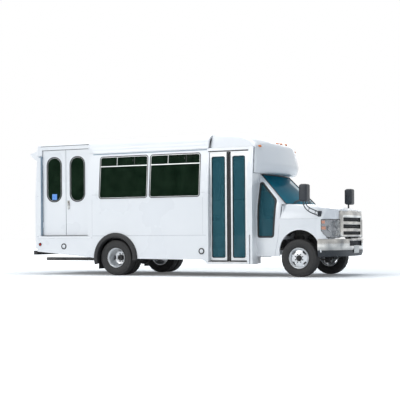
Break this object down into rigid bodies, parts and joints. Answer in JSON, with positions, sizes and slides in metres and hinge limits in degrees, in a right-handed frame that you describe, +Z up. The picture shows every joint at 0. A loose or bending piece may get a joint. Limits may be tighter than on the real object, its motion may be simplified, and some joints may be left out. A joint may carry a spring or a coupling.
{
  "type": "wheelchair accessible shuttle bus",
  "caption": "Small accessible passenger bus on a van chassis: coach body with double entrance doors, a double lift door, hinged cab door and hood, steered front wheels and twin rear wheels.",
  "frame": {"origin": "middle of the bus's outline on the ground", "axes": "+X forward, +Y to the bus's left, +Z up"},
  "size_m": [7.126, 2.9, 2.9499],
  "materials": {
    "white_paint": "gloss",
    "white_panel": "gloss",
    "black_steel": "satin",
    "grey_steel": "rough",
    "rubber": "matte",
    "tyre": "matte",
    "rim": "gloss",
    "chrome": "polished",
    "glass": "clear",
    "tint": "tinted",
    "lamp": "clear",
    "floor_cover": "matte",
    "aluminium": "brushed",
    "trim": "matte",
    "fabric": "woven"
  },
  "bodies": {
    "bus_body": {"chassis_frame": "black_steel", "engine_block": "grey_steel", "front_suspension": "black_steel", "rear_axle": "black_steel", "fuel_tank": "black_steel", "exhaust": "grey_steel", "floor": "floor_cover", "right_side_wall": "white_paint", "left_side_wall": "white_paint", "roof": "white_panel", "rear_wall": "white_panel", "front_cap": "white_panel", "skirts": "white_paint", "wheel_flares": "rubber", "side_windows": "tint", "entrance_steps": "aluminium", "cab_shell": "white_paint", "windshield": "glass", "grille": "chrome", "lamps": "lamp", "front_bumper": "chrome", "rear_bumper": "black_steel", "mirrors": "black_steel", "dashboard": "trim", "seats": "fabric", "wheelchair_lift": "aluminium"},
    "knuckle_right": {"knuckle_right": "grey_steel"},
    "knuckle_left": {"knuckle_left": "grey_steel"},
    "front_wheel_right": {"front_tyre_right": "tyre", "front_rim_right": "rim"},
    "front_wheel_left": {"front_tyre_left": "tyre", "front_rim_left": "rim"},
    "rear_wheels_right": {"rear_tyres_right": "tyre", "rear_rims_right": "rim"},
    "rear_wheels_left": {"rear_tyres_left": "tyre", "rear_rims_left": "rim"},
    "entrance_leaf_front": {"entrance_door_front": "aluminium", "entrance_glass_front": "glass"},
    "entrance_leaf_rear": {"entrance_door_rear": "aluminium", "entrance_glass_rear": "glass"},
    "lift_leaf_front": {"lift_door_front": "white_paint"},
    "lift_leaf_rear": {"lift_door_rear": "white_paint"},
    "driver_door": {"driver_door": "white_paint", "driver_door_glass": "glass"},
    "hood": {"hood": "white_paint"}
  },
  "joints": [
    {"name": "steer_right", "type": "hinge", "parent": "bus_body", "child": "knuckle_right", "pos_m": [2.703, -0.745, 0.372], "axis": [0, 0, 1], "range_deg": [-32, 32]},
    {"name": "steer_left", "type": "hinge", "parent": "bus_body", "child": "knuckle_left", "pos_m": [2.703, 0.745, 0.372], "axis": [0, 0, 1], "range_deg": [-32, 32]},
    {"name": "front_wheel_right_spin", "type": "hinge", "parent": "knuckle_right", "child": "front_wheel_right", "pos_m": [2.703, -0.88, 0.372], "axis": [0, 1, 0], "continuous": true},
    {"name": "front_wheel_left_spin", "type": "hinge", "parent": "knuckle_left", "child": "front_wheel_left", "pos_m": [2.703, 0.88, 0.372], "axis": [0, 1, 0], "continuous": true},
    {"name": "rear_wheels_right_spin", "type": "hinge", "parent": "bus_body", "child": "rear_wheels_right", "pos_m": [-1.31, -0.967, 0.372], "axis": [0, 1, 0], "continuous": true},
    {"name": "rear_wheels_left_spin", "type": "hinge", "parent": "bus_body", "child": "rear_wheels_left", "pos_m": [-1.31, 0.967, 0.372], "axis": [0, 1, 0], "continuous": true},
    {"name": "entrance_front_hinge", "type": "hinge", "parent": "bus_body", "child": "entrance_leaf_front", "pos_m": [1.699, -1.133, 1.4], "axis": [0, 0, 1], "range_deg": [0, 90]},
    {"name": "entrance_rear_hinge", "type": "hinge", "parent": "bus_body", "child": "entrance_leaf_rear", "pos_m": [0.859, -1.133, 1.4], "axis": [0, 0, -1], "range_deg": [0, 90]},
    {"name": "lift_front_hinge", "type": "hinge", "parent": "bus_body", "child": "lift_leaf_front", "pos_m": [-2.003, -1.133, 1.77], "axis": [0, 0, 1], "range_deg": [0, 90]},
    {"name": "lift_rear_hinge", "type": "hinge", "parent": "bus_body", "child": "lift_leaf_rear", "pos_m": [-3.191, -1.133, 1.77], "axis": [0, 0, -1], "range_deg": [0, 90]},
    {"name": "driver_door_hinge", "type": "hinge", "parent": "bus_body", "child": "driver_door", "pos_m": [2.336, 1, 1.1], "axis": [0, 0, -1], "range_deg": [0, 65]},
    {"name": "hood_hinge", "type": "hinge", "parent": "bus_body", "child": "hood", "pos_m": [2.488, 0, 1.435], "axis": [0, -1, 0], "range_deg": [0, 50]}
  ],
  "couplings": [
    {"joint": "steer_left", "follows": "steer_right", "ratio": 1}
  ]
}
